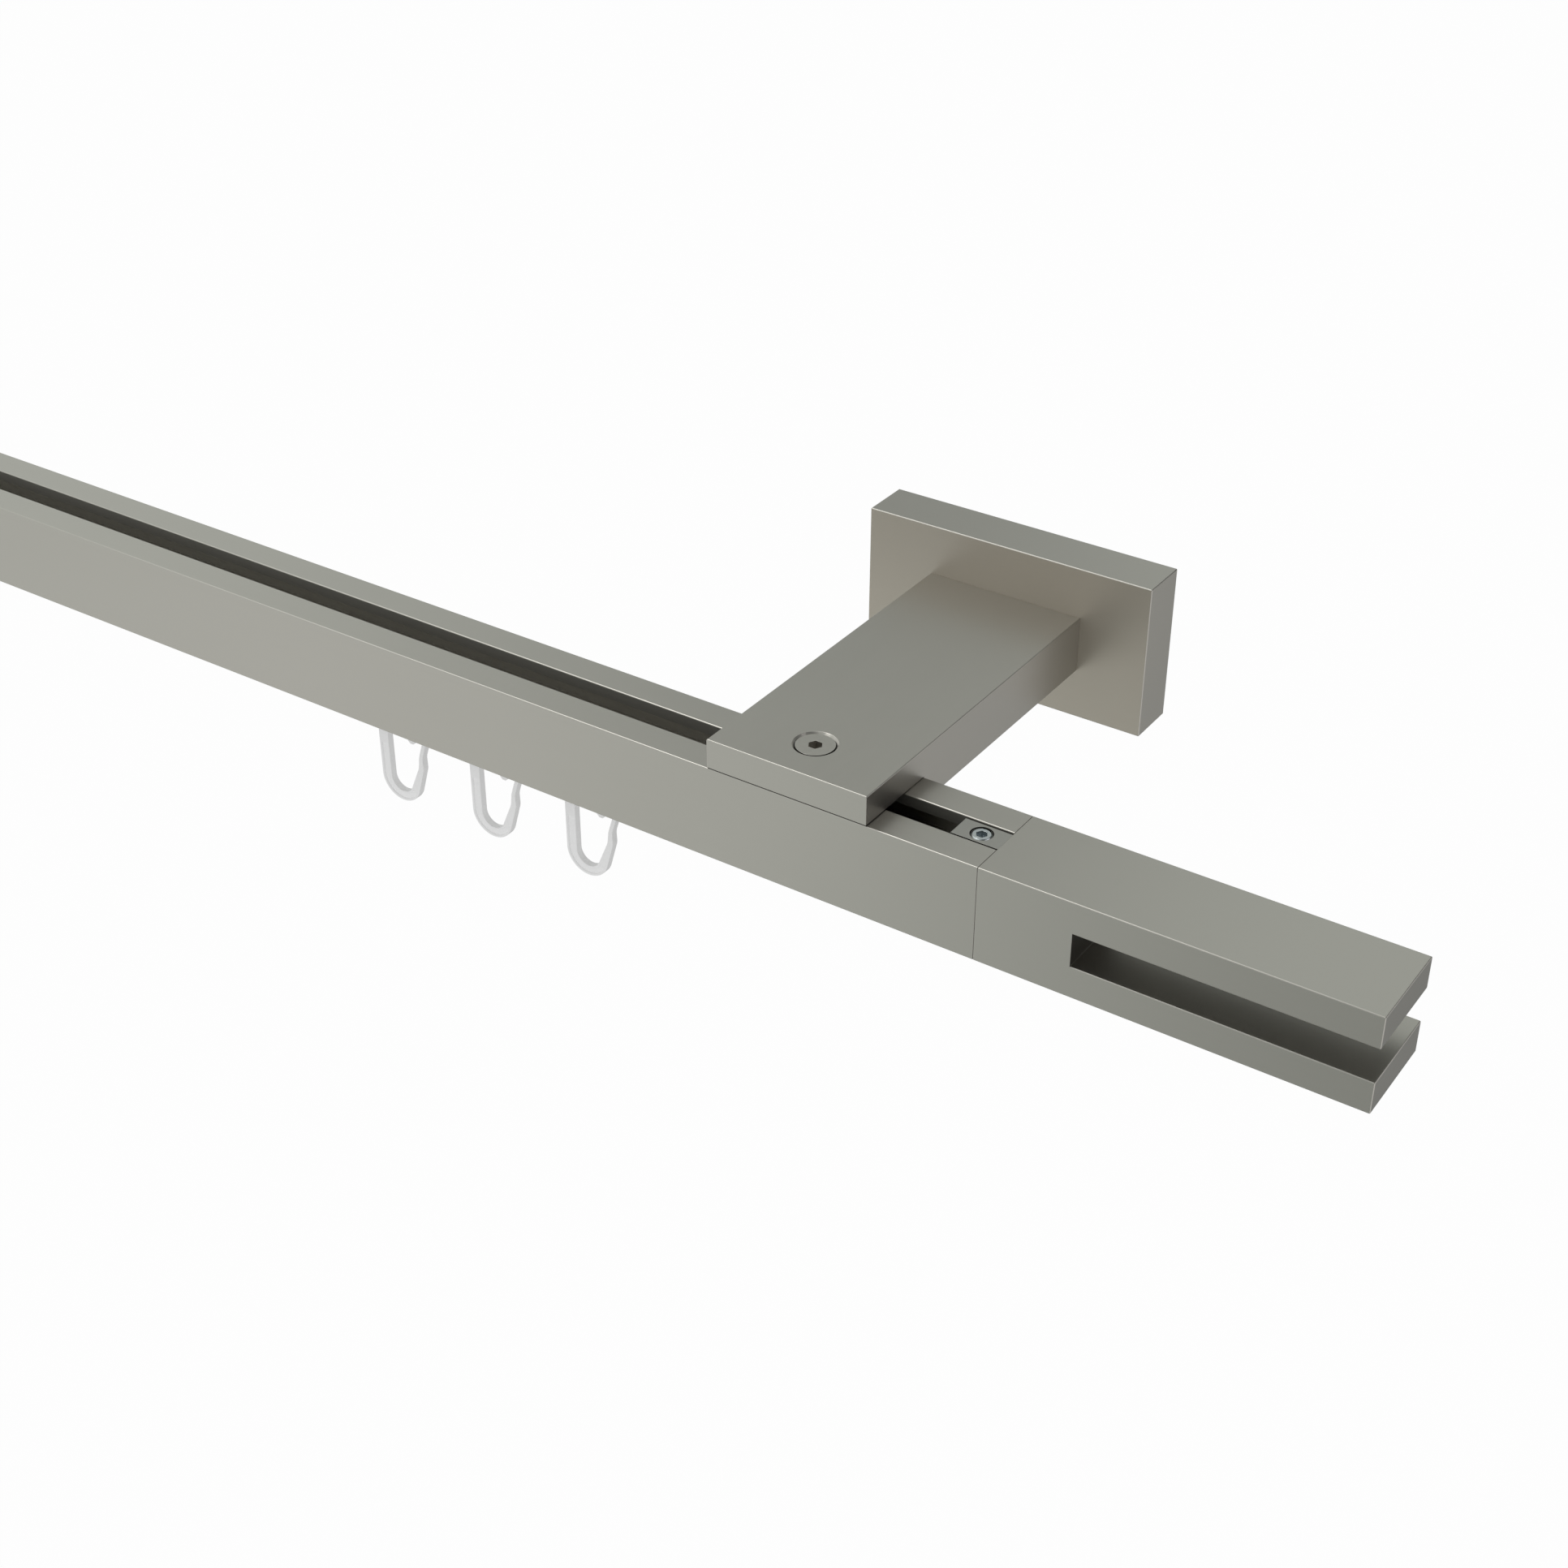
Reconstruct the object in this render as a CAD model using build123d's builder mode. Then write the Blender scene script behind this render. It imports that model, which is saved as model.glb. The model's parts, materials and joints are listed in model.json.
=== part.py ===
from build123d import *

import os

# Square curtain rod with inner track, wall brackets, forked finials, gliders and hooks
# Millimetres. +X along the rod to the right, +Y into the wall, +Z up.
# The origin lies on the wall, midway between the brackets, at mid height of their arms.

# Rail: square aluminium profile, slotted along its top and along its bottom
rail_length = 1000.0
rail_side = 20.0
rail_wall = 1.8
rail_edge = 0.15
top_slot = 6.4
top_lip = 2.5
top_channel = 5.8
rail_web = 1.5
bottom_slot = 6.4
bottom_lip = 2.0

# Bracket arm: a bar that steps up and lies on the rail with a short cap
bracket_inset = 40.5
arm_width = 35.0
arm_height = 12.0
arm_reach = 60.0
cap_thickness = 6.3
arm_edge = 0.15
cap_foot_edge = 0.12

# Wall cover: a shallow box, open to the wall, that carries the arm
cover_width = 65.0
cover_height = 33.5
cover_depth = 11.0
cover_wall = 3.0
cover_edge = 0.15

# Wall plate: the steel plate inside the cover, with its two holes for pan-head wall screws
plate_thickness = 4.0
plate_side_gap = 0.5
plate_foot_gap = 1.0
wall_hole = 5.0
wall_hole_spacing = 44.0

# Screws, all M4
screw_diameter = 4.0
screw_play = 0.4
thread_gap = 0.02
sunk_head = 8.4
sunk_rim = 8.8
sunk_angle = 90.0
sunk_screw_length = 12.0
sunk_hex = 2.5
grub_hex = 2.0
hex_depth = 2.0
hexagon_head = 7.0
hexagon_head_height = 2.8
arm_screw_length = 12.0
arm_screw_spacing = 18.0
arm_hole_spare = 2.0
cover_grub_spacing = 40.0

# Slot nut under the lips of the top slot
nut_length = 12.0
nut_thickness = 3.2
nut_side_gap = 0.7
nut_corner = 1.0

# Finial: a square bar, forked from its tip
finial_length = 75.4
fork_root = 19.2
fork_gap = 6.9
finial_edge = 0.15
joint_edge = 0.12

# Connector between the rail's end and the finial
connector_grip = 9.75
connector_tail = 9.5
connector_height = 5.0
connector_rib = 5.5
connector_drop = 0.2
connector_side_gap = 0.6
pocket_gap = 0.05
finial_grub_length = 12.0
connector_grub_length = 8.0

# Gliders: moulded runners in the bottom channel, each with an eye below the rail
gliders_per_end = 3
glider_pitch = 25.2
glider_from_bracket = 54.85
glider_length = 9.0
glider_width = 13.6
glider_skid = 2.2
glider_rise = 0.1
glider_crown = 5.6
glider_crown_height = 2.4
glider_neck = 5.2
glider_neck_length = 6.0
glider_neck_drop = 0.2
glider_edge = 0.7
glider_corner = 2.4
glider_neck_corner = 1.2
eye_bar = 1.5
eye_bar_edge = 0.4
eye_depth = 4.0
eye_corner = 1.3

# Hooks: flat moulded clips that hang in the eyes and carry the curtain's tape
hook_thickness = 1.55
hook_width = 2.55
hook_loop_width = 2.0
hook_bend = 3.975
hook_bend_width = 2.05
hook_height = 12.6
hook_loop_tip = 2.5
hook_loop_corner = 0.6
hook_seat_gap = 0.3
hook_shoulder = 1.9
hook_rim = 0.5
hook_recess = 0.42
hook_recess_start = 3.0
bend_sweep = 148.0
tongue_knee = (6.08, -10.0)
tongue_knee_width = 1.4
tongue_throat = (6.17, -7.2)
tongue_throat_width = 0.95
tongue_tip = (7.35, -3.6)
tongue_tip_width = 1.0
tongue_root_turn = 13.0
tongue_round = 4.0

# Places that follow from the sizes above
rod_y = -(cover_depth + arm_reach + rail_side / 2)
arm_top = arm_height / 2
rail_top = arm_top - cap_thickness
rail_middle = rail_top - rail_side / 2
rail_bottom = rail_top - rail_side
lip_under = rail_top - top_lip
web_top = lip_under - top_channel
track_top = web_top - rail_web
track_floor = rail_bottom + bottom_lip
track_height = track_top - track_floor
channel_width = rail_side - 2 * rail_wall
half_rail = rail_length / 2
bracket_x = half_rail - bracket_inset
screw_radius = screw_diameter / 2
thread_radius = screw_radius + thread_gap
clear_radius = screw_radius + screw_play / 2
eye_bar_z = rail_bottom - eye_depth
cover_front = -cover_depth
cover_inside_front = cover_front + cover_wall
plate_width = cover_width - 2 * cover_wall - 2 * plate_side_gap
plate_top = cover_height / 2 - cover_wall
plate_foot = -plate_top + plate_foot_gap
grub_y = -plate_thickness / 2
connector_width = channel_width - 2 * connector_side_gap
connector_foot = lip_under - connector_height
connector_middle = lip_under - connector_height / 2
connector_grub_x = half_rail - connector_grip / 2
finial_grub_x = half_rail + connector_tail / 2
loop_inside = hook_bend - hook_loop_width / 2
loop_z = eye_bar / 2 + hook_seat_gap - loop_inside
bend_z = loop_z - hook_height
bend_outside = hook_bend + hook_width / 2
bend_inside = hook_bend - hook_bend_width / 2
bend_shift = (hook_width - hook_bend_width) / 2

os.makedirs("parts", exist_ok=True)


def save(piece, label):
    """Label a finished piece and write it to its own file."""
    piece.label = label
    export_step(piece, f"parts/{label}.step")


def save_pair(piece, label):
    """Write a piece of the right-hand end, and its mirror image for the left-hand end."""
    save(piece, f"{label}_right")
    save(mirror(piece, about=Plane.YZ), f"{label}_left")


def upright(x, y, z):
    """A plane that faces the room, with its origin at the given point."""
    return Plane(origin=(x, y, z), x_dir=(1, 0, 0), z_dir=(0, -1, 0))


def level(x, y, z, turned=False):
    """A plane that faces up, or down when turned, with its origin at the given point."""
    return Plane(origin=(x, y, z), x_dir=(1, 0, 0), z_dir=(0, 0, -1 if turned else 1))


def grub_screw(seat, length):
    """Headless screw with a hex socket, standing on the seat plane with its socket on top."""
    with BuildPart() as grub:
        with BuildSketch(seat):
            Circle(screw_radius)
        extrude(amount=length)
        with BuildSketch(seat.offset(length)):
            RegularPolygon(grub_hex / 2, 6, major_radius=False)
        extrude(amount=-hex_depth, mode=Mode.SUBTRACT)
    return grub.part


def build_rail():
    """The slotted profile, cut to length."""
    with BuildPart() as rail:
        with BuildSketch(Plane.YZ.offset(-half_rail)) as section:
            with Locations((rod_y, rail_middle)):
                Rectangle(rail_side, rail_side)
            with Locations((rod_y, rail_top)):
                Rectangle(top_slot, top_lip, align=(Align.CENTER, Align.MAX), mode=Mode.SUBTRACT)
            with Locations((rod_y, lip_under)):
                Rectangle(channel_width, top_channel, align=(Align.CENTER, Align.MAX), mode=Mode.SUBTRACT)
            with Locations((rod_y, track_floor)):
                Rectangle(channel_width, track_height, align=(Align.CENTER, Align.MIN), mode=Mode.SUBTRACT)
            with Locations((rod_y, rail_bottom)):
                Rectangle(bottom_slot, bottom_lip, align=(Align.CENTER, Align.MIN), mode=Mode.SUBTRACT)
            rows = section.vertices().group_by(Axis.Y)
            chamfer(rows[0] + rows[-1], rail_edge)
        extrude(amount=rail_length)
    save(rail.part, "rail")


def build_arm():
    """The rebated bar: its cap lies on the rail, its heel bears on the rail's back face."""
    with BuildPart() as arm:
        with BuildSketch(Plane.YZ.offset(bracket_x - arm_width / 2)):
            with BuildLine():
                Polyline(
                    (cover_front, -arm_top),
                    (rod_y + rail_side / 2, -arm_top),
                    (rod_y + rail_side / 2, rail_top),
                    (rod_y - rail_side / 2, rail_top),
                    (rod_y - rail_side / 2, arm_top),
                    (cover_front, arm_top),
                    close=True,
                )
            make_face()
        extrude(amount=arm_width)
        cap_edges = arm.edges().filter_by(Axis.Y).group_by(Axis.Z)
        nose_edges = arm.faces().sort_by(Axis.Y)[0].edges().filter_by(Axis.X).sort_by(Axis.Z)
        chamfer(cap_edges[-1] + nose_edges[-1:], arm_edge)
        cap_foot = arm.faces().filter_by(Axis.Z).sort_by(Axis.Y)[0]
        chamfer(cap_foot.edges().sort_by(Axis.Y)[:3], cap_foot_edge)
        with Locations(level(bracket_x, rod_y, arm_top)):
            CounterSinkHole(clear_radius, sunk_rim / 2, cap_thickness, sunk_angle)
        with BuildSketch(upright(bracket_x, cover_front, 0)):
            with GridLocations(arm_screw_spacing, 0, 2, 1):
                Circle(thread_radius)
        extrude(amount=arm_screw_length - cover_wall + arm_hole_spare, mode=Mode.SUBTRACT)
    save_pair(arm.part, "bracket_arm")


def build_rail_screw():
    """The countersunk screw that clamps the arm's cap to the rail."""
    head_top = arm_top - (sunk_rim - sunk_head) / 2
    neck = head_top - (sunk_head / 2 - screw_radius)
    tip = head_top - sunk_screw_length
    with BuildPart() as screw:
        with BuildSketch(upright(bracket_x, rod_y, 0)):
            with BuildLine():
                Polyline(
                    (0, head_top),
                    (sunk_head / 2, head_top),
                    (screw_radius, neck),
                    (screw_radius, tip),
                    (0, tip),
                    close=True,
                )
            make_face()
        revolve(axis=Axis((bracket_x, rod_y, 0), (0, 0, 1)))
        with BuildSketch(level(bracket_x, rod_y, head_top)):
            RegularPolygon(sunk_hex / 2, 6, major_radius=False)
        extrude(amount=-hex_depth, mode=Mode.SUBTRACT)
    save_pair(screw.part, "rail_screw")


def build_slot_nut():
    """The flat nut that the rail screw pulls up against the slot's lips."""
    with BuildPart() as nut:
        with BuildSketch(level(bracket_x, rod_y, lip_under)):
            Rectangle(nut_length, channel_width - 2 * nut_side_gap)
            Circle(thread_radius, mode=Mode.SUBTRACT)
        extrude(amount=-nut_thickness)
        chamfer(nut.edges().filter_by(Axis.Z), nut_corner)
    save_pair(nut.part, "slot_nut")


def build_cover():
    """The wall cover: a shallow shell, open to the wall."""
    with BuildPart() as cover:
        with BuildSketch(upright(bracket_x, 0, 0)):
            Rectangle(cover_width, cover_height)
        extrude(amount=cover_depth)
        chamfer(cover.edges().filter_by(Axis.Y), cover_edge)
        chamfer(cover.faces().sort_by(Axis.Y)[0].edges(), cover_edge)
        with BuildSketch(upright(bracket_x, 0, 0)):
            Rectangle(cover_width - 2 * cover_wall, cover_height - 2 * cover_wall)
        extrude(amount=cover_depth - cover_wall, mode=Mode.SUBTRACT)
        with BuildSketch(upright(bracket_x, cover_inside_front, 0)):
            with GridLocations(arm_screw_spacing, 0, 2, 1):
                Circle(clear_radius)
        extrude(amount=cover_wall, mode=Mode.SUBTRACT)
        with BuildSketch(level(bracket_x, grub_y, -cover_height / 2)):
            with GridLocations(cover_grub_spacing, 0, 2, 1):
                Circle(thread_radius)
        extrude(amount=cover_wall, mode=Mode.SUBTRACT)
    save_pair(cover.part, "wall_cover")


def build_wall_plate():
    """The steel plate on the wall that the cover hangs over, with two holes for wall screws."""
    with BuildPart() as plate:
        with BuildSketch(upright(bracket_x, 0, 0)):
            with Locations((0, (plate_top + plate_foot) / 2)):
                Rectangle(plate_width, plate_top - plate_foot)
            with GridLocations(wall_hole_spacing, 0, 2, 1):
                Circle(wall_hole / 2, mode=Mode.SUBTRACT)
        extrude(amount=plate_thickness)
    save_pair(plate.part, "wall_plate")


def build_arm_screws():
    """The two hexagon screws that join the cover to the arm, from inside the cover."""
    with BuildPart() as screws:
        with BuildSketch(upright(bracket_x, cover_inside_front, 0)):
            with GridLocations(arm_screw_spacing, 0, 2, 1):
                Circle(screw_radius)
        extrude(amount=arm_screw_length)
        with BuildSketch(upright(bracket_x, cover_inside_front, 0)):
            with GridLocations(arm_screw_spacing, 0, 2, 1):
                RegularPolygon(hexagon_head / 2, 6, major_radius=False)
        extrude(amount=-hexagon_head_height)
    save_pair(screws.part, "arm_screws")


def build_cover_grubs():
    """The two grub screws below the cover, which press on the wall plate's foot."""
    length = plate_foot + cover_height / 2
    half = cover_grub_spacing / 2
    with BuildPart() as grubs:
        add(grub_screw(level(bracket_x - half, grub_y, plate_foot, turned=True), length))
        add(grub_screw(level(bracket_x + half, grub_y, plate_foot, turned=True), length))
    save_pair(grubs.part, "cover_grub_screws")


def build_finial():
    """The square bar, forked from its tip, with a pocket for the connector."""
    joint = Plane(origin=(half_rail, rod_y, rail_middle), x_dir=(0, 1, 0), z_dir=(1, 0, 0))
    with BuildPart() as finial:
        with BuildSketch(joint):
            Rectangle(rail_side, rail_side)
        extrude(amount=finial_length)
        with BuildSketch(upright(half_rail + fork_root, rod_y + rail_side / 2, rail_middle)):
            Rectangle(finial_length - fork_root, fork_gap, align=(Align.MIN, Align.CENTER))
        extrude(amount=rail_side, mode=Mode.SUBTRACT)
        chamfer(finial.edges().filter_by(Axis.X) + finial.faces().sort_by(Axis.X)[-2:].edges(), finial_edge)
        chamfer(finial.faces().sort_by(Axis.X)[0].edges(), joint_edge)
        with BuildSketch(joint):
            with Locations((0, connector_middle - rail_middle)):
                Rectangle(connector_width + 2 * pocket_gap, connector_height + 2 * pocket_gap)
        extrude(amount=connector_tail + pocket_gap, mode=Mode.SUBTRACT)
        with BuildSketch(level(finial_grub_x, rod_y, rail_bottom)):
            Circle(thread_radius)
        extrude(amount=connector_foot - rail_bottom, mode=Mode.SUBTRACT)
    save_pair(finial.part, "finial")


def build_connector():
    """The bar in the top channel that carries the finial. Its rib fills the slot at the rail's end."""
    with BuildPart() as connector:
        with BuildSketch(Plane.YZ.offset(half_rail - connector_grip)):
            with Locations((rod_y, connector_middle)):
                Rectangle(connector_width, connector_height)
        extrude(amount=connector_grip + connector_tail)
        with BuildSketch(Plane.YZ.offset(half_rail - connector_grip)):
            with Locations((rod_y, lip_under)):
                Rectangle(connector_rib, top_lip - connector_drop, align=(Align.CENTER, Align.MIN))
        extrude(amount=connector_grip)
        with BuildSketch(level(connector_grub_x, rod_y, rail_top)):
            Circle(thread_radius)
        extrude(amount=-(rail_top - connector_foot), mode=Mode.SUBTRACT)
    save_pair(connector.part, "finial_connector")


def build_end_grubs():
    """The grub screws that lock the connector in the rail and in the finial."""
    on_web = level(connector_grub_x, rod_y, web_top)
    save_pair(grub_screw(on_web, connector_grub_length), "connector_grub_screw")
    under_tail = level(finial_grub_x, rod_y, connector_foot, turned=True)
    save_pair(grub_screw(under_tail, finial_grub_length), "finial_grub_screw")


def build_glider(x, label):
    """A moulded runner: skid and crown in the channel, a neck through the slot, an eye below."""
    skid_floor = track_floor + glider_rise
    neck_foot = rail_bottom - glider_neck_drop
    eye_width = glider_neck - 2 * eye_bar
    eye_opening = neck_foot - eye_bar_z - eye_bar / 2
    with BuildPart() as glider:
        with BuildSketch(Plane.YZ.offset(x - eye_bar / 2)) as eye:
            with Locations((rod_y, eye_bar_z - eye_bar / 2)):
                Rectangle(glider_neck, skid_floor - eye_bar_z, align=(Align.CENTER, Align.MIN))
            chamfer(eye.vertices().group_by(Axis.Y)[0], eye_corner)
            with Locations((rod_y, neck_foot)):
                Rectangle(eye_width, eye_opening, align=(Align.CENTER, Align.MAX), mode=Mode.SUBTRACT)
        extrude(amount=eye_bar)
        chamfer(glider.faces().filter_by(Axis.X).edges(), eye_bar_edge)
        with BuildSketch(level(x, rod_y, neck_foot)) as neck:
            Rectangle(glider_neck_length, glider_neck)
            chamfer(neck.vertices(), glider_neck_corner)
        extrude(amount=skid_floor - neck_foot)
        with BuildSketch(level(x, rod_y, skid_floor)) as skid:
            Rectangle(glider_length, glider_width)
            chamfer(skid.vertices(), glider_corner)
        extrude(amount=glider_skid)
        chamfer(glider.faces().sort_by(Axis.Z)[-1].edges(), glider_edge)
        with BuildSketch(level(x, rod_y, skid_floor + glider_skid)):
            Rectangle(glider_crown, glider_crown)
        extrude(amount=glider_crown_height)
        chamfer(glider.faces().sort_by(Axis.Z)[-1].edges(), glider_edge)
    save(glider.part, label)


def band(top, inset):
    """The face of the hook's spine and bend, from a height down, inset from both edges."""
    outside = bend_outside - inset
    inside = bend_inside + inset
    with BuildLine() as border:
        back = Line((-outside, top), (-outside, bend_z))
        outer_bend = CenterArc((0, bend_z), outside, 180, bend_sweep)
        front = Line((bend_shift - inside, top), (bend_shift - inside, bend_z))
        inner_bend = CenterArc((bend_shift, bend_z), inside, 180, bend_sweep)
        Line(back @ 0, front @ 0)
        Line(outer_bend @ 1, inner_bend @ 1)
    make_face(border.edges())
    return inner_bend @ 1


def build_hook(x, label):
    """A flat clip: a loop over the eye's bar, a ribbed spine and bend, and a thin springy tongue."""
    face = upright(x, rod_y, eye_bar_z)
    bend_end = 180 + bend_sweep
    loop_outside = hook_bend + hook_loop_width / 2
    spine_top = loop_z - hook_shoulder
    with BuildPart() as hook:
        with BuildSketch(face):
            with BuildLine():
                CenterArc((0, loop_z), hook_bend, 0, 180)
            trace(line_width=hook_loop_width)
            with BuildSketch(mode=Mode.PRIVATE) as tip:
                with Locations((hook_bend, loop_z)):
                    Rectangle(hook_loop_width, hook_loop_tip, align=(Align.CENTER, Align.MAX))
                chamfer(tip.vertices().group_by(Axis.Y)[0], hook_loop_corner)
            add(tip.sketch)
            with BuildLine():
                Polyline(
                    (-loop_outside, loop_z),
                    (-loop_inside, loop_z),
                    (bend_shift - bend_inside, spine_top),
                    (-bend_outside, spine_top),
                    close=True,
                )
            make_face()
            root_inside = band(spine_top, 0)
            with BuildLine():
                inside = FilletPolyline(
                    root_inside,
                    beside(tongue_knee, -tongue_knee_width),
                    beside(tongue_throat, -tongue_throat_width),
                    beside(tongue_tip, -tongue_tip_width),
                    radius=tongue_round,
                )
                root = CenterArc((0, bend_z), bend_outside, bend_end, tongue_root_turn)
                outside = FilletPolyline(
                    root @ 1,
                    beside(tongue_knee, tongue_knee_width),
                    beside(tongue_throat, tongue_throat_width),
                    beside(tongue_tip, tongue_tip_width),
                    radius=tongue_round,
                )
                Line(inside @ 1, outside @ 1)
                Line(inside @ 0, root @ 0)
            make_face()
        extrude(amount=hook_thickness / 2, both=True)
        with BuildSketch(face.offset(hook_thickness / 2)):
            band(spine_top - hook_recess_start, hook_rim)
        extrude(amount=-hook_recess, mode=Mode.SUBTRACT)
    save(hook.part, label)


def beside(point, width):
    """The point half a width to the side of another."""
    return (point[0] + width / 2, point[1])


build_rail()
build_arm()
build_rail_screw()
build_slot_nut()
build_cover()
build_wall_plate()
build_arm_screws()
build_cover_grubs()
build_finial()
build_connector()
build_end_grubs()

# Gliders and hooks stand in a row inside each bracket, numbered from the left
inmost = bracket_x - glider_from_bracket
right_row = [inmost - (gliders_per_end - 1 - place) * glider_pitch for place in range(gliders_per_end)]
left_row = [-x for x in reversed(right_row)]
for number, x in enumerate(left_row + right_row, start=1):
    build_glider(x, f"glider_{number}")
    build_hook(x, f"curtain_hook_{number}")
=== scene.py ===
import json
import math

import bmesh
import bpy
from bpy.props import FloatProperty, FloatVectorProperty, PointerProperty
from mathutils import Matrix, Vector


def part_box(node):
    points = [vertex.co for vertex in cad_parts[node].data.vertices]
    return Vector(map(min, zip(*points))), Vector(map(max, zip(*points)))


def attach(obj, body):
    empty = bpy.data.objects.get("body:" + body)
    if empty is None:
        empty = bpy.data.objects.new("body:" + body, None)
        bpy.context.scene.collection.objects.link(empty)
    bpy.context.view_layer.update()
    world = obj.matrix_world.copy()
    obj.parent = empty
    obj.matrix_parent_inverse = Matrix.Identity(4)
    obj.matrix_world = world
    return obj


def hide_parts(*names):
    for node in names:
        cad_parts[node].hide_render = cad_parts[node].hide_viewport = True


bl_info = {
    "name": "Curtain Rod",
    "version": (1, 0, 0),
    "blender": (4, 5, 0),
    "location": "3D View > Sidebar > Curtain Rod",
    "description": "Finishes a square curtain rod with brackets, forked finials, gliders and hooks",
    "category": "Object",
}

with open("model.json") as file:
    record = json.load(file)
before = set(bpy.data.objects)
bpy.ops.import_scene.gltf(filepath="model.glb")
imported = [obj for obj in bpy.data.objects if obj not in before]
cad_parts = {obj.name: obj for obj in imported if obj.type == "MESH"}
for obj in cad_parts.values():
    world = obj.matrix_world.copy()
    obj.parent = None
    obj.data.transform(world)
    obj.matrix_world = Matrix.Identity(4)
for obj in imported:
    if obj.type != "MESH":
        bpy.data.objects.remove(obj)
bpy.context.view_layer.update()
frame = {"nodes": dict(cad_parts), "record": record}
NODES = frame["nodes"]
BODIES = frame["record"]["behaviour"]["bodies"]
ENDS = ("left", "right")
MILLIMETRE = 0.001
WHITE = (1.0, 1.0, 1.0, 1.0)

# Where the photograph was taken from, solved from the edges of the rod
CAMERA_PLACE = Vector((0.6661108, -0.3972791, 0.23826))
CAMERA_TURN = math.radians(34.02712)
CAMERA_TILT = math.radians(32.54431)
CAMERA_ROLL = math.radians(0.09044)
CAMERA_LENS = 55.3905
CAMERA_SENSOR = 36.0
CAMERA_NEAR = 0.01
CAMERA_FAR = 50.0

# Where the rod's middle lies before the wall, about, and the lamp above its right-hand end
ROD_DEPTH = -0.08
LAMP_AIM = Vector((0.45, ROD_DEPTH, 0.0))
LAMP_AWAY = Vector((-0.45, 0.0, 0.89)) * 1.2
LAMP_SIZE = 0.36

# The floor shows its own grey to the light and a glow to the eye, which leaves it a faint shadow
FLOOR_HALF = 12.0
FLOOR_GREY = (0.8, 0.8, 0.8, 1.0)
FLOOR_GLOW = 0.97

# Grey cards round the rod, a quarter ring each: where the quarter starts, and how light it is at
# places along the rod
CARD_RADIUS = 1.4
CARD_STEPS = 12
CARD_TINT = (0.945, 1.0, 0.965)
CARD_PLACES = (-2.4, -1.4, -0.75, -0.25, 0.2, 0.6, 1.0, 1.6)
CARDS = {
    "front_high": (0.0, (0.74, 0.87, 0.93, 1.04, 0.81, 0.35, 0.05, 0.05)),
    "back_high": (90.0, (0.73, 0.82, 0.76, 0.35, 0.9, 0.62, 0.05, 0.05)),
    "back_low": (180.0, (0.76, 0.91, 0.67, 0.05, 0.05, 0.05, 0.34, 1.1)),
    "front_low": (270.0, (0.68, 0.88, 1.1, 0.95, 0.42, 0.44, 0.45, 1.0)),
}

# Directions of the grain in the brushed metal, and how much finer it is across than along
ALONG_ROD = (1.0, 0.0, 0.0)
ALONG_ARM = (0.0, 1.0, 0.0)
GRAIN_ALONG = 3.0
GRAIN_ACROSS = 260.0
GRAIN_RELIEF = 0.35
MILLED_RELIEF = 0.4

# Sizes of the patterns in the finishes: the higher, the finer
STREAK_SCALE = 22.0
SPECK_SCALE = 5200.0
HAND_MARK_SCALE = 26.0
RING_SCALE = 1400.0
RING_CLOUD_SCALE = 900.0
ZINC_CLOUD_SCALE = 240.0
ZINC_SPECK_SCALE = 3600.0
FLOW_SCALE = 420.0

# Depth of the marks in ground or moulded surfaces, and of finer ones in turned or plated metal
MARK_DEPTH = 0.02 * MILLIMETRE
FINE_MARK_DEPTH = 0.01 * MILLIMETRE

# The milled ends of the finials get a darker copy of the nickel than their ground sides, and the
# root of the fork a darker one still, as painted shade; crevices get the darkest, as painted shade
# in the gaps, and the walls of the top slot and the hooks' narrow sides are painted darker too, as
# painted shade
END_SHADE = 0.68
ROOT_SHADE = 0.35
CREVICE_SHADE = 0.04
LIP_SHADE = 0.68
HOOK_SIDE_SHADE = 0.85

COVER_ROUGHNESS = 0.5
CREVICE_ROUGHNESS = 0.6
LIP_ROUGHNESS = 0.65
CONNECTOR_ROUGHNESS = 0.36
ZINC_ROUGHNESS = 0.26
GLIDER_ROUGHNESS = 0.42
GLIDER_GRIT = 0.25
HOOK_ROUGHNESS = 0.5
HOOK_GRIT = 0.01

# How a face is told by its normal: it looks straight one way, it slopes, or it stands edgewise
STRAIGHT = 0.9
SLOPING = 0.2
EDGEWISE = 0.5

# The walls of the top slot lie above this height over the rail's middle and this close to its axis,
# and the roots of the forks lie this close to the rod's middle
SLOT_HEIGHT = 6.0 * MILLIMETRE
SLOT_REACH = 4.0 * MILLIMETRE
FORK_REACH = 530.0 * MILLIMETRE

# Chamfers of the set screw's top, of the hole that it stands in, of the rail screw's head and of
# the arm's foot, where it meets the rail
# The chamfers of the hole, of the rail screw's head and of the arm's foot are painted dark, as
# painted shade in the gaps
SCREW_RADIUS = 2.0 * MILLIMETRE
SCREW_CHAMFER = 0.32 * MILLIMETRE
HOLE_RADIUS = 2.02 * MILLIMETRE
HOLE_CHAMFER = 0.2 * MILLIMETRE
HEAD_RADIUS = 4.2 * MILLIMETRE
HEAD_CHAMFER = 0.4 * MILLIMETRE
FOOT_RISE = 0.12 * MILLIMETRE
FOOT_CHAMFER = 0.12 * MILLIMETRE

# How near a point has to be to count as on a rim or at a height, how near two points are to be
# joined, and how flat two faces
RIM_MARGIN = 0.05 * MILLIMETRE
LEVEL_MARGIN = 0.01 * MILLIMETRE
JOINED_POINTS = 0.002 * MILLIMETRE
FLAT_ANGLE = math.radians(0.5)

# Edges sharper than this are broken, in this many steps
SHARP_ANGLE = math.radians(28.0)
EDGE_STEPS = 2


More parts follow.
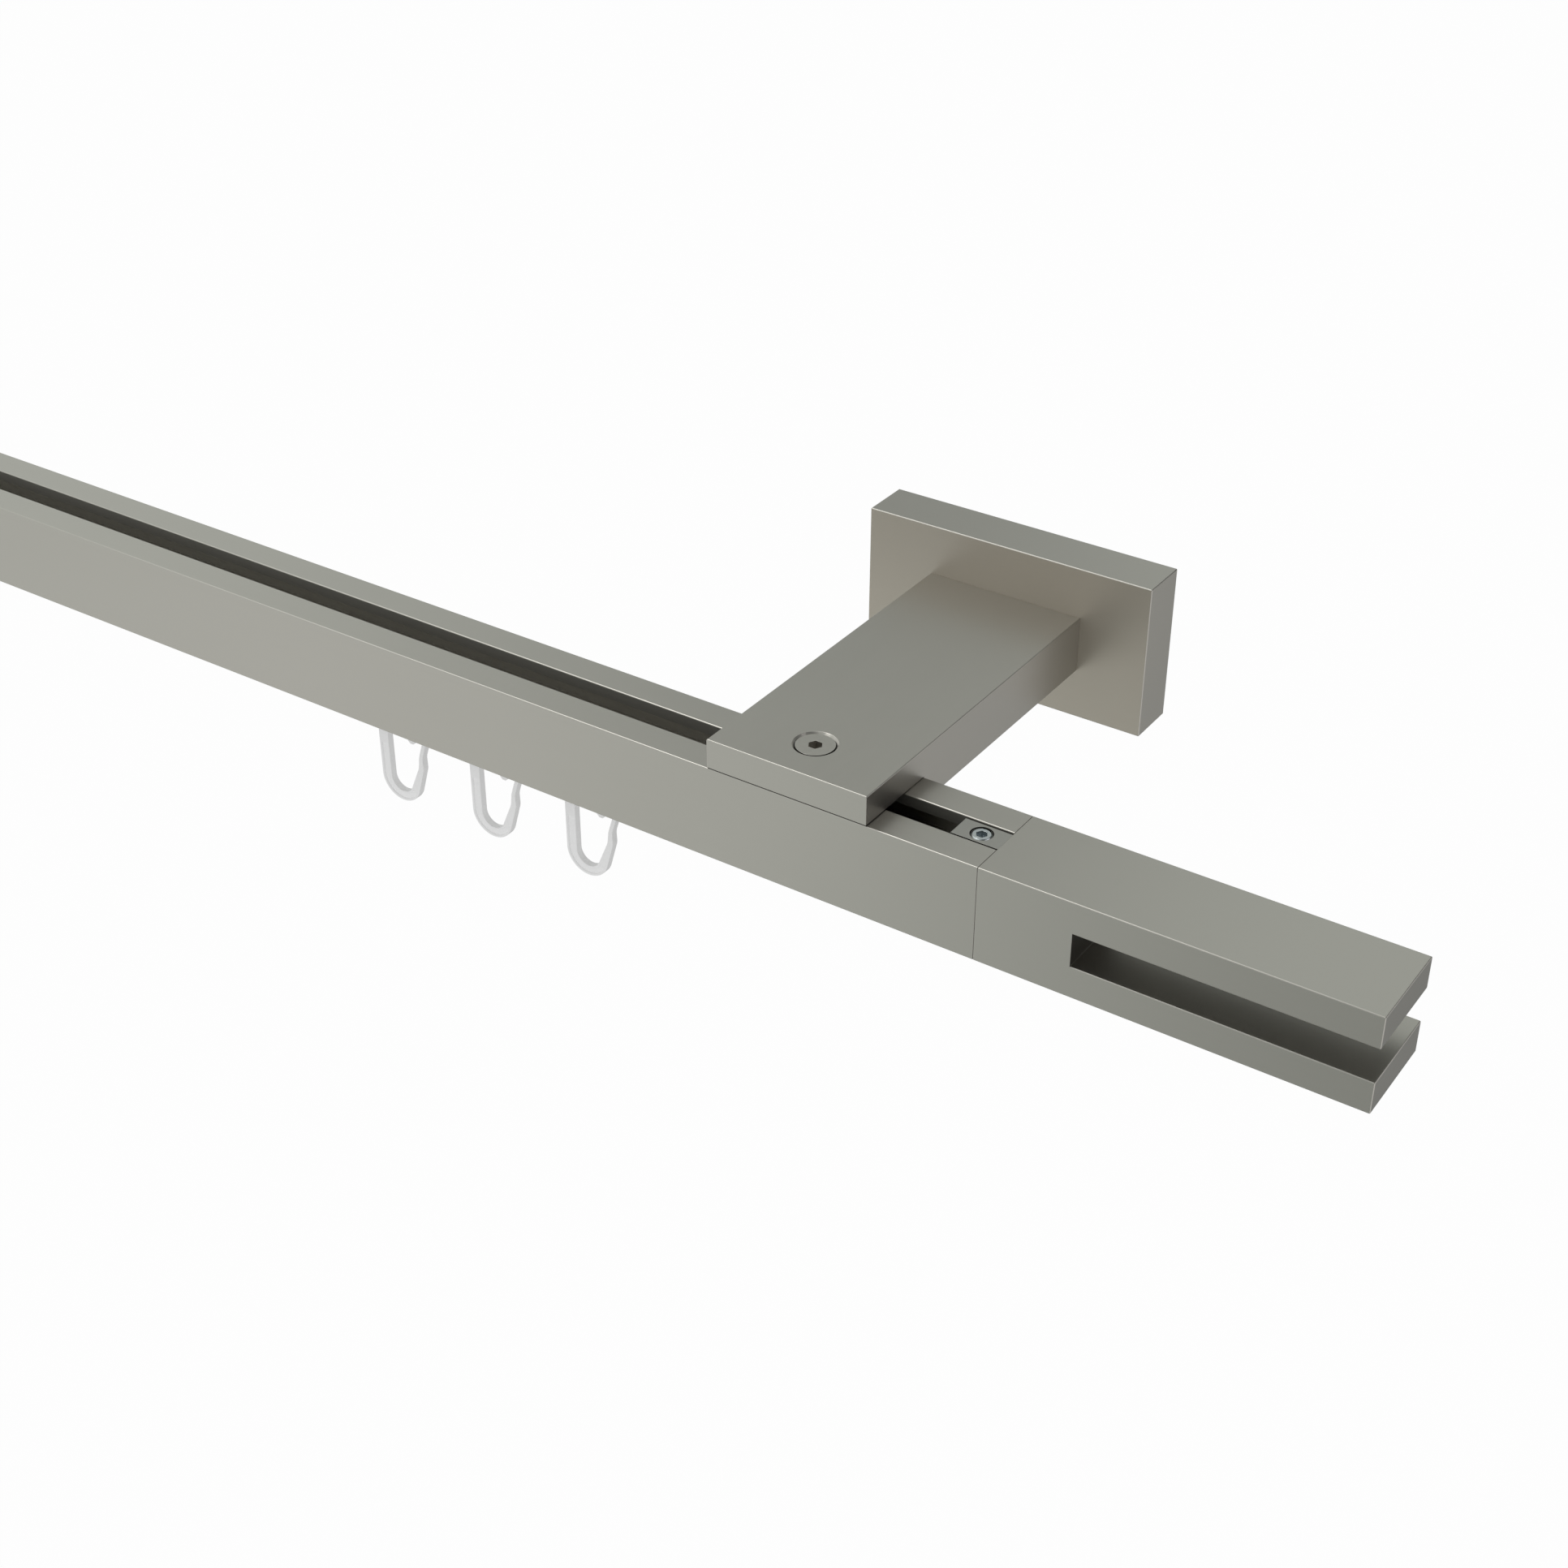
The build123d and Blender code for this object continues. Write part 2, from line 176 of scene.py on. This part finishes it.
class Wire:
    """A socket that can be used in sums: each operator adds the Math node that it stands for."""

    def __init__(self, shader, socket):
        self.shader = shader
        self.socket = socket

    def _maths(self, operation, *values):
        return self.shader.node(
            "ShaderNodeMath", {"operation": operation}, dict(enumerate(values)))

    def __add__(self, other):
        return self._maths("ADD", self, other)

    __radd__ = __add__

    def __sub__(self, other):
        return self._maths("SUBTRACT", self, other)

    def __rsub__(self, other):
        return self._maths("SUBTRACT", other, self)

    def __mul__(self, other):
        return self._maths("MULTIPLY", self, other)

    __rmul__ = __mul__

    def clamped(self):
        """The value kept between 0 and 1."""
        return self._maths("MINIMUM", self._maths("MAXIMUM", self, 0.0), 1.0)

    def swing(self, width):
        """A value from 0 to 1, moved and scaled to swing evenly about zero."""
        return (self - 0.5) * width


class Shader:
    """A material's or the world's node tree, with one method that adds any node."""

    def __init__(self, owner):
        owner.use_nodes = True
        self.tree = owner.node_tree
        self.tree.nodes.clear()

    def node(self, kind, settings=None, sockets=None, output=0):
        """Add a node, set its settings, then its sockets, and return one output as a Wire."""
        made = self.tree.nodes.new(kind)
        for name, value in (settings or {}).items():
            if name == "stops":
                self._set_stops(made.color_ramp, value)
            else:
                setattr(made, name, value)
        for name, value in (sockets or {}).items():
            if isinstance(value, Wire):
                self.tree.links.new(value.socket, made.inputs[name])
            else:
                made.inputs[name].default_value = value
        return Wire(self, made.outputs[output]) if len(made.outputs) else made

    @staticmethod
    def _set_stops(ramp, stops):
        while len(ramp.elements) > 1:
            ramp.elements.remove(ramp.elements[-1])
        ramp.elements[0].position = stops[0][0]
        ramp.elements[0].color = stops[0][1]
        for position, shade in stops[1:]:
            ramp.elements.new(position).color = shade

    def place(self, stretch=(1.0, 1.0, 1.0), shift=(0.0, 0.0, 0.0)):
        """Object coordinates, stretched and shifted."""
        spot = self.node("ShaderNodeTexCoord", output="Object")
        return self.node("ShaderNodeMapping", sockets={
            "Vector": spot, "Scale": stretch, "Location": shift})

    def noise(self, place, scale, detail=3.0, roughness=0.55):
        """Soft noise from 0 to 1."""
        return self.node("ShaderNodeTexNoise", sockets={
            "Vector": place, "Scale": scale, "Detail": detail, "Roughness": roughness})

    def mix(self, share, low, high):
        """A colour between two others."""
        return self.node(
            "ShaderNodeMix", {"data_type": "RGBA"}, {0: share, 6: low, 7: high}, output=2)

    def bump(self, height, strength, distance):
        """A normal from a height."""
        return self.node("ShaderNodeBump", sockets={
            "Height": height, "Strength": strength, "Distance": distance}, output="Normal")

    def background_rays(self):
        """1 for camera, glossy and transmission rays, which show the pale background, or else 0."""
        camera = self.node("ShaderNodeLightPath", output="Is Camera Ray")
        paths = camera.socket.node.outputs
        glossy = Wire(self, paths["Is Glossy Ray"])
        through = Wire(self, paths["Is Transmission Ray"])
        return (camera + glossy + through).clamped()

    def surface(self, sockets):
        """The Principled shader, joined to the material's output."""
        shader = self.node("ShaderNodeBsdfPrincipled", sockets=sockets)
        self.node("ShaderNodeOutputMaterial", sockets={"Surface": shader})


def shaded(rgb, share):
    """A colour brightened or darkened by a share."""
    return tuple(min(1.0, part * share) for part in rgb)


def colour(rgb, share=1.0):
    """Four numbers for a colour socket, brightened or darkened by a share."""
    return (*shaded(rgb, share), 1.0)


def brushed_metal(name, rgb, roughness, grain, relief=GRAIN_RELIEF):
    """Plated metal: a fine grain along one direction, and faint clouds where hands touched it."""
    shader = Shader(bpy.data.materials.new(name))
    along = [GRAIN_ALONG if part else GRAIN_ACROSS for part in grain]
    streaks = shader.noise(shader.place(along), STREAK_SCALE, detail=4.0, roughness=0.6)
    specks = shader.noise(shader.place(), SPECK_SCALE, detail=2.0, roughness=0.5)
    clouds = shader.noise(shader.place(), HAND_MARK_SCALE, detail=3.0, roughness=0.5)
    tone = (streaks * 0.5 + specks * 0.5).clamped()
    shader.surface({
        "Base Color": shader.mix(tone, colour(rgb, 0.97), colour(rgb, 1.03)),
        "Metallic": 1.0,
        "Roughness": roughness + streaks.swing(0.1) + clouds.swing(0.04) + specks.swing(0.06),
        "Normal": shader.bump(streaks * 0.6 + specks * 0.4, relief, MARK_DEPTH),
    })


def turned_metal(name, rgb, roughness, centre):
    """Metal turned on a lathe: fine rings about an upright axis through the centre."""
    shader = Shader(bpy.data.materials.new(name))
    rings = shader.node("ShaderNodeTexWave", {"wave_type": "RINGS", "rings_direction": "Z"}, {
        "Vector": shader.place(shift=(-centre.x, -centre.y, 0.0)),
        "Scale": RING_SCALE, "Distortion": 0.6, "Detail": 2.0, "Detail Scale": 3.0}, output="Fac")
    clouds = shader.noise(shader.place(), RING_CLOUD_SCALE)
    shader.surface({
        "Base Color": shader.mix(clouds, colour(rgb, 0.96), colour(rgb, 1.04)),
        "Metallic": 1.0,
        "Roughness": roughness + rings.swing(0.08) + clouds.swing(0.05),
        "Normal": shader.bump(rings, 0.25, FINE_MARK_DEPTH),
    })


def zinc_metal(name, rgb, roughness):
    """Bright zinc plating: bluish, with slightly yellow clouds."""
    shader = Shader(bpy.data.materials.new(name))
    clouds = shader.noise(shader.place(), ZINC_CLOUD_SCALE, detail=4.0)
    specks = shader.noise(shader.place(), ZINC_SPECK_SCALE, detail=2.0)
    yellow = (rgb[0] * 1.02, rgb[1] * 0.99, rgb[2] * 0.9)
    shader.surface({
        "Base Color": shader.mix(((clouds - 0.42) * 3.0).clamped(), colour(rgb), colour(yellow)),
        "Metallic": 1.0,
        "Roughness": roughness + clouds.swing(0.12) + specks.swing(0.06),
        "Normal": shader.bump(specks, 0.2, FINE_MARK_DEPTH),
    })


def moulded_plastic(name, rgb, roughness, grit, constants):
    """Moulded plastic: faint flow marks and the fine grit of the mould."""
    shader = Shader(bpy.data.materials.new(name))
    flow = shader.noise(shader.place((1.0, 1.0, 0.35)), FLOW_SCALE, detail=3.0)
    fine = shader.noise(shader.place(), SPECK_SCALE, detail=2.0)
    shader.surface({
        "Base Color": shader.mix(flow, colour(rgb, 0.975), colour(rgb, 1.015)),
        "Metallic": 0.0,
        "Roughness": roughness + flow.swing(0.1) + fine.swing(0.06),
        "Normal": shader.bump(flow * 0.6 + fine * 0.4, grit, MARK_DEPTH),
        **constants,
    })


def make_finishes(settings):
    """Make all the materials of the rod."""
    nickel = tuple(settings.nickel)
    satin = settings.nickel_roughness
    hook = tuple(settings.hook)
    nylon = {
        "IOR": 1.5, "Subsurface Weight": 0.25, "Subsurface Radius": (1.0, 1.0, 1.0),
        "Subsurface Scale": 1.2 * MILLIMETRE}
    # The hooks' glow is painted light: an emission of their own that stands in for light passing
    # through the milky plastic
    milky = {
        "IOR": 1.35, "Emission Color": WHITE, "Emission Strength": settings.hook_painted_glow}

    brushed_metal("satin_nickel_along", nickel, satin, ALONG_ROD)
    brushed_metal("satin_nickel_across", nickel, satin, ALONG_ARM)
    # Painted shade: darker copies of the nickel for the finials' ends and the forks' roots
    brushed_metal("satin_nickel_ends", shaded(nickel, END_SHADE), satin, ALONG_ARM)
    brushed_metal("satin_nickel_root", shaded(nickel, ROOT_SHADE), satin, ALONG_ARM)
    # Painted shade: a darker, rougher copy of the nickel for the top slot's walls
    brushed_metal("satin_nickel_lips", shaded(nickel, LIP_SHADE), LIP_ROUGHNESS, ALONG_ROD)
    # Painted light: a lighter, warmer copy of the nickel for the covers' fronts
    brushed_metal("satin_nickel_cover", tuple(settings.cover), COVER_ROUGHNESS, ALONG_ROD)
    # Painted shade: the darkest copy of the nickel, for the crevices between parts
    brushed_metal("nickel_crevice", shaded(nickel, CREVICE_SHADE), CREVICE_ROUGHNESS, ALONG_ROD)
    brushed_metal("milled_connector", tuple(settings.connector), CONNECTOR_ROUGHNESS, ALONG_ROD,
                  relief=MILLED_RELIEF)
    for end in ENDS:
        turned_metal(f"screw_head_{end}", nickel, satin, middle_of(f"rail_screw_{end}"))
    zinc_metal("zinc_plating", tuple(settings.zinc), ZINC_ROUGHNESS)
    moulded_plastic("glider_nylon", tuple(settings.glider), GLIDER_ROUGHNESS, GLIDER_GRIT, nylon)
    moulded_plastic("milky_hook", hook, HOOK_ROUGHNESS, HOOK_GRIT, milky)
    # Painted shade: a darker copy of the hooks' plastic for their narrow sides
    moulded_plastic("milky_hook_side", shaded(hook, HOOK_SIDE_SHADE), HOOK_ROUGHNESS, HOOK_GRIT,
                    milky)


def middle_of(node):
    """The middle of a CAD node's box."""
    low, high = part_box(node)
    return (low + high) / 2


def top_of(node):
    """The height of a CAD node's top."""
    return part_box(node)[1].z


def body_of(node):
    """The body that a CAD node moves with."""
    return next(body for body, nodes in BODIES.items() if node in nodes)


def round_rim(centre, radius, height):
    """A rule that picks the round edge about an upright axis at a height."""
    def on_rim(point):
        reach = math.hypot(point.co.x - centre.x, point.co.y - centre.y)
        return abs(reach - radius) < RIM_MARGIN and abs(point.co.z - height) < LEVEL_MARGIN

    def rule(edge):
        return all(on_rim(point) for point in edge.verts)
    return rule


def level_edge(height):
    """A rule that picks the level edges at a height."""
    def rule(edge):
        return all(abs(point.co.z - height) < LEVEL_MARGIN for point in edge.verts)
    return rule


def cut_end(face):
    """Whether a face looks along the rod."""
    return abs(face.normal.x) > STRAIGHT


def cut_end_within(reach):
    """A rule that picks the faces that look along the rod, up to a distance from its middle."""
    def rule(face):
        return cut_end(face) and abs(face.center.x) < reach
    return rule


def facing_room(face):
    """Whether a face looks away from the wall."""
    return face.normal.y < -STRAIGHT


def edgewise(face):
    """Whether a face is on the narrow sides of a flat piece that lies along the rod."""
    return abs(face.normal.y) < EDGEWISE


def sloping_under(face):
    """Whether a face slopes and looks down."""
    return -STRAIGHT < face.normal.z < -SLOPING


def sloping_up(face):
    """Whether a face slopes and looks up."""
    return SLOPING < face.normal.z < STRAIGHT


def slot_wall(middle):
    """A rule that picks the upright walls of the slot in the rail's top."""
    def rule(face):
        beside = abs(face.center.y - middle.y) < SLOT_REACH
        high = face.center.z > middle.z + SLOT_HEIGHT
        return beside and high and abs(face.normal.y) > STRAIGHT
    return rule


def merged_copy(node, name, chamfer):
    """A piece like a CAD node, its triangles joined into clean faces and some edges chamfered."""
    mesh = NODES[node].data.copy()
    mesh.name = name
    mesh.materials.clear()
    form = bmesh.new()
    form.from_mesh(mesh)
    bmesh.ops.remove_doubles(form, verts=form.verts, dist=JOINED_POINTS)
    bmesh.ops.dissolve_limit(form, angle_limit=FLAT_ANGLE, verts=form.verts, edges=form.edges)
    if chamfer:
        rule, offset = chamfer
        bmesh.ops.bevel(form, geom=[edge for edge in form.edges if rule(edge)], offset=offset,
                        segments=1, profile=0.5, affect="EDGES", material=-1)
    form.to_mesh(mesh)
    form.free()
    for face in mesh.polygons:
        face.use_smooth = True
    piece = bpy.data.objects.new(name, mesh)
    bpy.context.scene.collection.objects.link(piece)
    return piece


def break_edges(piece, width):
    """Give a piece the small rounding that its real edges have."""
    bevel = piece.modifiers.new("broken_edges", "BEVEL")
    bevel.limit_method = "ANGLE"
    bevel.angle_limit = SHARP_ANGLE
    bevel.width = width
    bevel.segments = EDGE_STEPS
    flats = piece.modifiers.new("flat_faces", "WEIGHTED_NORMAL")
    flats.weight = 100


def stand_in(node, name, finish, edge, zones=(), chamfer=None):
    """Replace a CAD node by the same form with broken edges, its finish, and others on zones."""
    piece = merged_copy(node, name, chamfer)
    piece.data.materials.append(bpy.data.materials[finish])
    for place, (other, rule) in enumerate(zones, start=1):
        piece.data.materials.append(bpy.data.materials[other])
        for face in piece.data.polygons:
            if rule(face):
                face.material_index = place
    break_edges(piece, edge)
    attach(piece, body_of(node))
    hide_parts(node)


def coat(node, finish):
    """Give a CAD node that stays as it is its finish."""
    NODES[node].data.materials.clear()
    NODES[node].data.materials.append(bpy.data.materials[finish])


def add_camera(scene):
    """The camera, where the photograph was taken from."""
    view = bpy.data.cameras.new("photo_view")
    view.sensor_width = CAMERA_SENSOR
    view.lens = CAMERA_LENS
    view.clip_start = CAMERA_NEAR
    view.clip_end = CAMERA_FAR
    camera = bpy.data.objects.new("photo_view", view)
    turn = Matrix.Rotation(CAMERA_TURN, 4, "Z")
    tilt = Matrix.Rotation(math.pi / 2 - CAMERA_TILT, 4, "X")
    roll = Matrix.Rotation(CAMERA_ROLL, 4, "Z")
    camera.matrix_world = Matrix.Translation(CAMERA_PLACE) @ turn @ tilt @ roll
    scene.collection.objects.link(camera)
    scene.camera = camera


def add_room(scene, light):
    """The world: white to the eye and in reflections, dimmer as a light on matt surfaces."""
    world = bpy.data.worlds.new("pale_room")
    scene.world = world
    shader = Shader(world)
    strength = light + shader.background_rays() * (1.0 - light)
    sky = shader.node("ShaderNodeBackground", sockets={"Color": WHITE, "Strength": strength})
    shader.node("ShaderNodeOutputWorld", sockets={"Surface": sky})


def add_lamp(power):
    """The large lamp above the rod."""
    light = bpy.data.lights.new("key_lamp", "AREA")
    light.shape = "DISK"
    light.size = LAMP_SIZE
    light.energy = power
    lamp = bpy.data.objects.new("key_lamp", light)
    place = LAMP_AIM + LAMP_AWAY
    turn = (LAMP_AIM - place).to_track_quat("-Z", "Y").to_matrix().to_4x4()
    lamp.matrix_world = Matrix.Translation(place) @ turn
    bpy.context.scene.collection.objects.link(lamp)


def stage_piece(name, form, material):
    """Make a bmesh a piece of the stage, whose glow is no lamp."""
    mesh = bpy.data.meshes.new(name)
    form.to_mesh(mesh)
    form.free()
    material.cycles.emission_sampling = "NONE"
    mesh.materials.append(material)
    piece = bpy.data.objects.new(name, mesh)
    bpy.context.scene.collection.objects.link(piece)
    return piece


def add_floor(drop):
    """The pale floor below the rod."""
    form = bmesh.new()
    bmesh.ops.create_grid(form, x_segments=1, y_segments=1, size=FLOOR_HALF)
    bmesh.ops.translate(form, verts=form.verts, vec=(0.0, 0.0, -drop))
    material = bpy.data.materials.new("pale_floor")
    shader = Shader(material)
    glow = shader.background_rays() * FLOOR_GLOW
    matt = shader.node("ShaderNodeBsdfDiffuse", sockets={"Color": FLOOR_GREY})
    white = shader.node("ShaderNodeEmission", sockets={"Color": WHITE, "Strength": 1.0})
    both = shader.node("ShaderNodeMixShader", sockets={0: glow, 1: matt, 2: white})
    shader.node("ShaderNodeOutputMaterial", sockets={"Surface": both})
    stage_piece("pale_floor", form, material)


def add_card(name, start, levels):
    """A quarter ring of grey card from a turn about the rod on, which only reflections see."""
    first, last = CARD_PLACES[0], CARD_PLACES[-1]
    deep = CARD_RADIUS * math.sin(start)
    high = CARD_RADIUS * math.cos(start)
    form = bmesh.new()
    line = [form.verts.new((x, deep, high)) for x in (first, last)]
    edge = form.edges.new(line)
    bmesh.ops.spin(form, geom=[*line, edge], cent=(0.0, 0.0, 0.0), axis=(1.0, 0.0, 0.0),
                   dvec=(0.0, 0.0, 0.0), angle=math.pi / 2, steps=CARD_STEPS,
                   use_merge=False, use_duplicate=False)
    bmesh.ops.translate(form, verts=form.verts, vec=(0.0, ROD_DEPTH, 0.0))

    material = bpy.data.materials.new(name)
    shader = Shader(material)
    spot = shader.node("ShaderNodeTexCoord", output="Object")
    across = shader.node("ShaderNodeSeparateXYZ", sockets={"Vector": spot}, output="X")
    span = last - first
    stops = [((x - first) / span, colour(CARD_TINT, level))
             for x, level in zip(CARD_PLACES, levels)]
    grey = shader.node(
        "ShaderNodeValToRGB", {"stops": stops}, {"Fac": (across - first) * (1 / span)})
    glow = shader.node("ShaderNodeEmission", sockets={"Color": grey, "Strength": 1.0})
    shader.node("ShaderNodeOutputMaterial", sockets={"Surface": glow})

    card = stage_piece(name, form, material)
    card.visible_camera = False
    card.visible_diffuse = False
    card.visible_shadow = False
    card.visible_transmission = False


class RodFinish(bpy.types.PropertyGroup):
    """Colours and sizes of the rod's finish."""
    nickel: FloatVectorProperty(
        name="Nickel", description="Colour of the satin nickel plating", subtype="COLOR", size=3,
        min=0.0, max=1.0, default=(0.43, 0.412, 0.378))
    nickel_roughness: FloatProperty(
        name="Nickel roughness", description="How matt the satin plating is", subtype="FACTOR",
        min=0.0, max=1.0, default=0.38)
    # Painted light: the covers' fronts get a lighter, warmer nickel than the covers' other faces
    cover: FloatVectorProperty(
        name="Cover fronts", description="Colour of the wall covers' fronts, warmer than the rest",
        subtype="COLOR", size=3, min=0.0, max=1.0, default=(0.505, 0.462, 0.403))
    connector: FloatVectorProperty(
        name="Connector", description="Colour of the finial's connector", subtype="COLOR", size=3,
        min=0.0, max=1.0, default=(0.38, 0.37, 0.345))
    zinc: FloatVectorProperty(
        name="Zinc", description="Colour of the zinc-plated screws, nuts and plates",
        subtype="COLOR", size=3, min=0.0, max=1.0, default=(0.56, 0.6, 0.63))
    glider: FloatVectorProperty(
        name="Gliders", description="Colour of the gliders", subtype="COLOR", size=3,
        min=0.0, max=1.0, default=(0.82, 0.82, 0.8))
    hook: FloatVectorProperty(
        name="Hooks", description="Colour of the milky hooks", subtype="COLOR", size=3,
        min=0.0, max=1.0, default=(0.965, 0.967, 0.967))
    # Painted light: the hooks glow of their own, in place of light passing through them
    hook_painted_glow: FloatProperty(
        name="Hook glow", description="Light that the milky plastic of the hooks lets through",
        min=0.0, max=1.0, default=0.13)
    edge: FloatProperty(
        name="Metal edges", description="Rounding of the metal pieces' edges",
        subtype="DISTANCE", unit="LENGTH", min=0.0, max=0.001, default=0.07 * MILLIMETRE)
    plastic_edge: FloatProperty(
        name="Glider edges", description="Rounding of the gliders' edges",
        subtype="DISTANCE", unit="LENGTH", min=0.0, max=0.001, default=0.14 * MILLIMETRE)
    hook_edge: FloatProperty(
        name="Hook edges", description="Rounding of the hooks' edges",
        subtype="DISTANCE", unit="LENGTH", min=0.0, max=0.001, default=0.07 * MILLIMETRE)


class RodStage(bpy.types.PropertyGroup):
    """Light and floor."""
    floor_drop: FloatProperty(
        name="Floor", description="How far the floor lies below the rod", subtype="DISTANCE",
        unit="LENGTH", min=0.1, max=5.0, default=1.5)
    room_light: FloatProperty(
        name="Room light", description="Level of the even light on matt surfaces", min=0.0,
        max=2.0, default=0.62)
    key_power: FloatProperty(
        name="Key light", description="Power of the large lamp above the rod", subtype="POWER",
        unit="POWER", min=0.0, max=500.0, default=5.0)


class ROD_OT_stage(bpy.types.Operator):
    """Build the floor, the lamp, the grey cards that shade the metal, and the camera"""
    bl_idname = "rod.stage"
    bl_label = "Stage and camera"

    def execute(self, context):
        scene = context.scene
        settings = scene.rod_stage
        scene.view_settings.view_transform = "Standard"
        add_camera(scene)
        add_room(scene, settings.room_light)
        add_floor(settings.floor_drop)
        add_lamp(settings.key_power)
        for name, (start, levels) in CARDS.items():
            add_card(name, math.radians(start), levels)
        return {"FINISHED"}


class ROD_OT_finishes(bpy.types.Operator):
    """Make the materials: satin nickel, zinc plating, nylon and milky plastic"""
    bl_idname = "rod.finishes"
    bl_label = "Finishes"

    def execute(self, context):
        make_finishes(context.scene.rod_finish)
        return {"FINISHED"}


class ROD_OT_rail(bpy.types.Operator):
    """Finish the slotted rail"""
    bl_idname = "rod.rail"
    bl_label = "Rail"

    def execute(self, context):
        # Painted shade: the walls of the top slot get a darker copy of the nickel
        stand_in("rail", "brushed_rail", "satin_nickel_along", context.scene.rod_finish.edge,
                 zones=[("satin_nickel_lips", slot_wall(middle_of("rail")))])
        return {"FINISHED"}


class ROD_OT_brackets(bpy.types.Operator):
    """Finish the bracket arms, covers, wall plates and their screws"""
    bl_idname = "rod.brackets"
    bl_label = "Brackets"

    def execute(self, context):
        edge = context.scene.rod_finish.edge
        foot = level_edge(top_of("rail") + FOOT_RISE)
        for end in ENDS:
            # Painted shade: the arm's faces that slope down, its foot chamfer among them, are
            # painted dark where the arm meets the rail
            stand_in(f"bracket_arm_{end}", f"brushed_arm_{end}", "satin_nickel_across", edge,
                     zones=[("nickel_crevice", sloping_under)], chamfer=(foot, FOOT_CHAMFER))
            # Painted light: the cover's front gets a lighter, warmer nickel than its other faces
            stand_in(f"wall_cover_{end}", f"brushed_cover_{end}", "satin_nickel_along", edge,
                     zones=[("satin_nickel_cover", facing_room)])
            screw = f"rail_screw_{end}"
            rim = round_rim(middle_of(screw), HEAD_RADIUS, top_of(screw))
            # Painted shade: the sloping chamfer round the screw's head is painted dark, a ring of
            # shadow in the gap
            stand_in(screw, f"sunk_screw_{end}", f"screw_head_{end}", edge / 2,
                     zones=[("nickel_crevice", sloping_up)], chamfer=(rim, HEAD_CHAMFER))
            stand_in(f"wall_plate_{end}", f"zinc_plate_{end}", "zinc_plating", edge)
            for node in ("slot_nut", "arm_screws", "cover_grub_screws"):
                coat(f"{node}_{end}", "zinc_plating")
        return {"FINISHED"}


class ROD_OT_finials(bpy.types.Operator):
    """Finish the forked finials, their connectors and grub screws"""
    bl_idname = "rod.finials"
    bl_label = "Finials"

    def execute(self, context):
        edge = context.scene.rod_finish.edge
        root = cut_end_within(FORK_REACH)
        for end in ENDS:
            # Painted shade: the finial's end faces are painted darker, and the root of the fork
            # darker still
            stand_in(f"finial_{end}", f"forked_finial_{end}", "satin_nickel_along", edge,
                     zones=[("satin_nickel_ends", cut_end), ("satin_nickel_root", root)])
            screw = f"connector_grub_screw_{end}"
            connector = f"finial_connector_{end}"
            mouth = round_rim(middle_of(screw), HOLE_RADIUS, top_of(connector))
            rim = round_rim(middle_of(screw), SCREW_RADIUS, top_of(screw))
            # Painted shade: the chamfer of the hole's mouth and the connector's front wall are
            # painted dark, as shade in the gaps
            stand_in(connector, f"milled_connector_{end}", "milled_connector", edge / 2,
                     zones=[("nickel_crevice", sloping_up), ("nickel_crevice", facing_room)],
                     chamfer=(mouth, HOLE_CHAMFER))
            stand_in(screw, f"zinc_grub_{end}", "zinc_plating", edge / 2,
                     chamfer=(rim, SCREW_CHAMFER))
            coat(f"finial_grub_screw_{end}", "zinc_plating")
        return {"FINISHED"}


class ROD_OT_gliders(bpy.types.Operator):
    """Finish the moulded gliders and the milky hooks that hang in them"""
    bl_idname = "rod.gliders"
    bl_label = "Gliders and hooks"

    def execute(self, context):
        settings = context.scene.rod_finish
        for node in sorted(NODES):
            if node.startswith("glider_"):
                stand_in(node, f"moulded_{node}", "glider_nylon", settings.plastic_edge)
            if node.startswith("curtain_hook_"):
                # Painted shade: the hooks' narrow sides are painted darker
                stand_in(node, f"moulded_{node}", "milky_hook", settings.hook_edge,
                         zones=[("milky_hook_side", edgewise)])
        return {"FINISHED"}


OPERATORS = (
    ROD_OT_stage, ROD_OT_finishes, ROD_OT_rail, ROD_OT_brackets, ROD_OT_finials, ROD_OT_gliders)


class ROD_PT_panel(bpy.types.Panel):
    """The rod's operators and settings in the sidebar"""
    bl_idname = "ROD_PT_panel"
    bl_label = "Curtain Rod"
    bl_space_type = "VIEW_3D"
    bl_region_type = "UI"
    bl_category = "Curtain Rod"

    def draw(self, context):
        column = self.layout.column(align=True)
        for operator in OPERATORS:
            column.operator(operator.bl_idname)
        for group in (context.scene.rod_finish, context.scene.rod_stage):
            box = self.layout.box()
            for name in group.bl_rna.properties.keys():
                if name not in ("rna_type", "name"):
                    box.prop(group, name)


CLASSES = (RodFinish, RodStage, *OPERATORS, ROD_PT_panel)


def register():
    for kind in CLASSES:
        bpy.utils.register_class(kind)
    bpy.types.Scene.rod_finish = PointerProperty(type=RodFinish)
    bpy.types.Scene.rod_stage = PointerProperty(type=RodStage)


def unregister():
    del bpy.types.Scene.rod_stage
    del bpy.types.Scene.rod_finish
    for kind in reversed(CLASSES):
        bpy.utils.unregister_class(kind)


def main():
    register()
    for operator in OPERATORS:
        group, name = operator.bl_idname.split(".")
        getattr(getattr(bpy.ops, group), name)()


if __name__ == "__main__":
    main()
